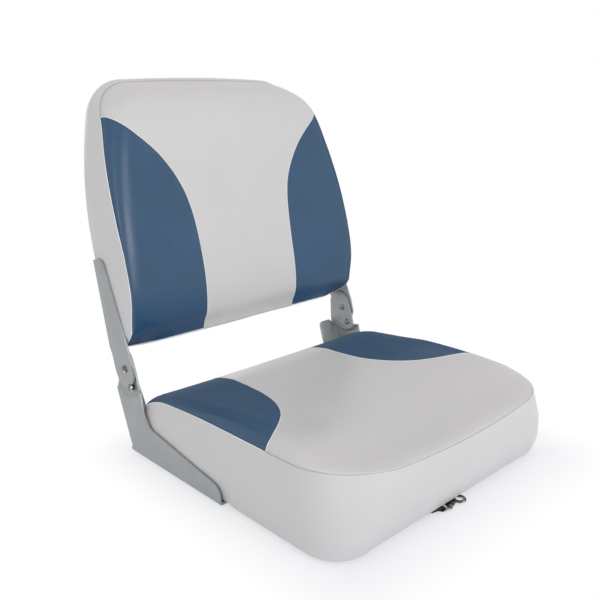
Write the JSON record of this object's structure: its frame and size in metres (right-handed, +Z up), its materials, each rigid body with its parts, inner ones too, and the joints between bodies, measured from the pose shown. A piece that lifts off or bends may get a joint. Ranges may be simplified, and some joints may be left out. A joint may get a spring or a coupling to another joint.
{
  "type": "folding boat seat",
  "caption": "Padded low-back boat seat with a dished cushion and a padded back that folds forward on pressed steel hinges.",
  "frame": {"origin": "centre of the pedestal pad on the underside of the seat's moulded foot", "axes": "+Z up, -Y the way the sitter faces, +X to the sitter's left; the seat is symmetric about the plane X = 0 apart from its strap"},
  "size_m": [0.4218, 0.5106, 0.4816],
  "materials": {
    "pale_vinyl": "satin",
    "navy_vinyl": "satin",
    "foam": "matte",
    "moulded_board": "matte",
    "coated_steel": "satin",
    "nickel": "polished",
    "brass": "satin",
    "webbing": "matte"
  },
  "bodies": {
    "seat": {"bracket_screw_1": "nickel", "bracket_screw_2": "nickel", "bracket_screw_3": "nickel", "bracket_screw_4": "nickel", "bracket_screw_5": "nickel", "bracket_screw_6": "nickel", "insert_nut_1": "brass", "insert_nut_2": "brass", "insert_nut_3": "brass", "insert_nut_4": "brass", "left_lower_bracket": "coated_steel", "left_pivot_rivet": "nickel", "left_pivot_washer": "nickel", "left_stop_stud": "nickel", "right_lower_bracket": "coated_steel", "right_pivot_rivet": "nickel", "right_pivot_washer": "nickel", "right_stop_stud": "nickel", "seat_base": "moulded_board", "seat_cover": "pale_vinyl", "seat_foam": "foam", "seat_insert_left": "navy_vinyl", "seat_insert_right": "navy_vinyl", "strap_screw": "nickel"},
    "back": {"arm_screw_1": "nickel", "arm_screw_2": "nickel", "arm_screw_3": "nickel", "arm_screw_4": "nickel", "arm_screw_5": "nickel", "arm_screw_6": "nickel", "back_board": "moulded_board", "back_cover": "pale_vinyl", "back_foam": "foam", "back_insert_left": "navy_vinyl", "back_insert_right": "navy_vinyl", "left_upper_arm": "coated_steel", "right_upper_arm": "coated_steel"},
    "strap": {"strap_webbing": "webbing", "strap_washer": "nickel", "strap_hook": "nickel"}
  },
  "joints": [
    {"name": "back_fold", "type": "hinge", "parent": "seat", "child": "back", "pos_m": [0, 0.2001, 0.1166], "axis": [1, 0, 0], "range_deg": [0, 86]},
    {"name": "strap_swivel", "type": "hinge", "parent": "seat", "child": "strap", "pos_m": [-0.08, -0.1535, 0], "axis": [0, 0, 1], "range_deg": [-90, 0]}
  ]
}
